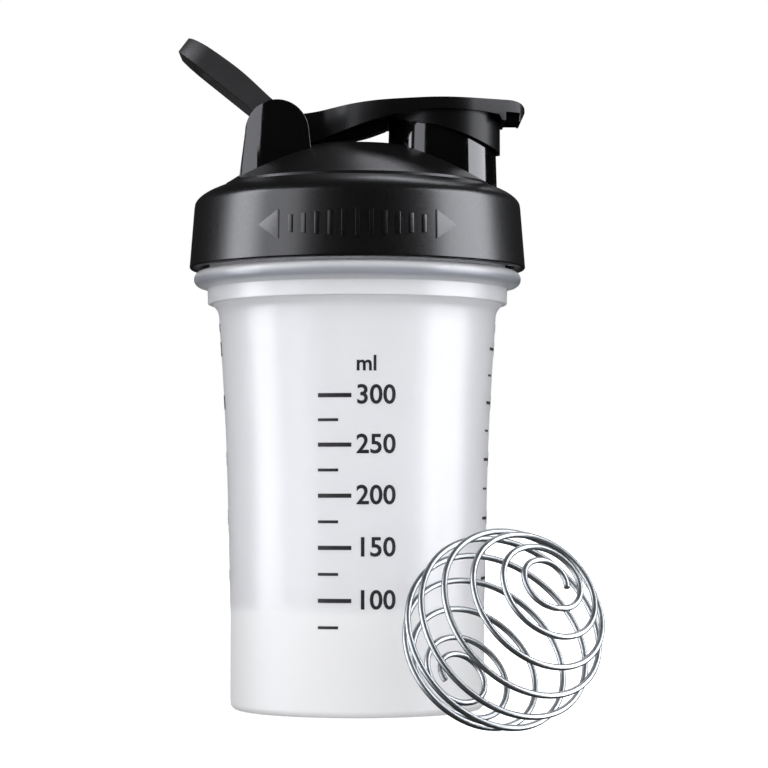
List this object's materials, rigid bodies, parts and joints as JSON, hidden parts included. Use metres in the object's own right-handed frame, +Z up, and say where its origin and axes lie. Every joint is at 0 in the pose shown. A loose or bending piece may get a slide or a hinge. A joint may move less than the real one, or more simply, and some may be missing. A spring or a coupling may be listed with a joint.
{
  "type": "protein shaker bottle",
  "caption": "Translucent drinking bottle with a black screw lid, spout with flip cap, hinged carry loop and a separate wire whisk ball.",
  "frame": {"origin": "centre of the jar's flat base, on the surface it stands on", "axes": "+Z up along the jar's axis, +X towards the spout, -X towards the hinge and carry loop"},
  "size_m": [0.1116, 0.1451, 0.1854],
  "materials": {
    "jar_plastic": "frosted translucent polypropylene",
    "lid_plastic": "satin black, glossy on the spout and hinge towers",
    "gasket_silicone": "soft matt",
    "cap_plastic": "satin black",
    "stopper_silicone": "soft matt",
    "loop_plastic": "satin black",
    "ball_steel": "polished round stainless wire"
  },
  "bodies": {
    "jar": {"jar": "jar_plastic"},
    "lid_seal": {"lid_gasket": "gasket_silicone"},
    "lid": {"screw_lid": "lid_plastic"},
    "cap": {"flip_cap": "cap_plastic", "spout_stopper": "stopper_silicone"},
    "loop": {"carry_loop": "loop_plastic"},
    "ball": {"whisk_ball": "ball_steel"}
  },
  "joints": [
    {"name": "lid_lift", "type": "slide", "parent": "jar", "child": "lid_seal", "axis": [0, 0, 1], "range_m": [0, 0.0076]},
    {"name": "lid_turn", "type": "hinge", "parent": "lid_seal", "child": "lid", "pos_m": [0, 0, 0.13], "axis": [0, 0, 1], "range_deg": [0, 450]},
    {"name": "cap_flip", "type": "hinge", "parent": "lid", "child": "cap", "pos_m": [-0.022, 0, 0.1592], "axis": [0, -1, 0], "range_deg": [0, 87]},
    {"name": "loop_swing", "type": "hinge", "parent": "lid", "child": "loop", "pos_m": [-0.022, 0, 0.1592], "axis": [0, -1, 0], "range_deg": [-2, 70]},
    {"name": "ball_lift", "type": "slide", "parent": "jar", "child": "ball", "axis": [0, 0, 1], "range_m": [0, 0.2]}
  ],
  "couplings": [
    {"joint": "lid_lift", "follows": "lid_turn", "m_per_rad": 0.00095493}
  ]
}
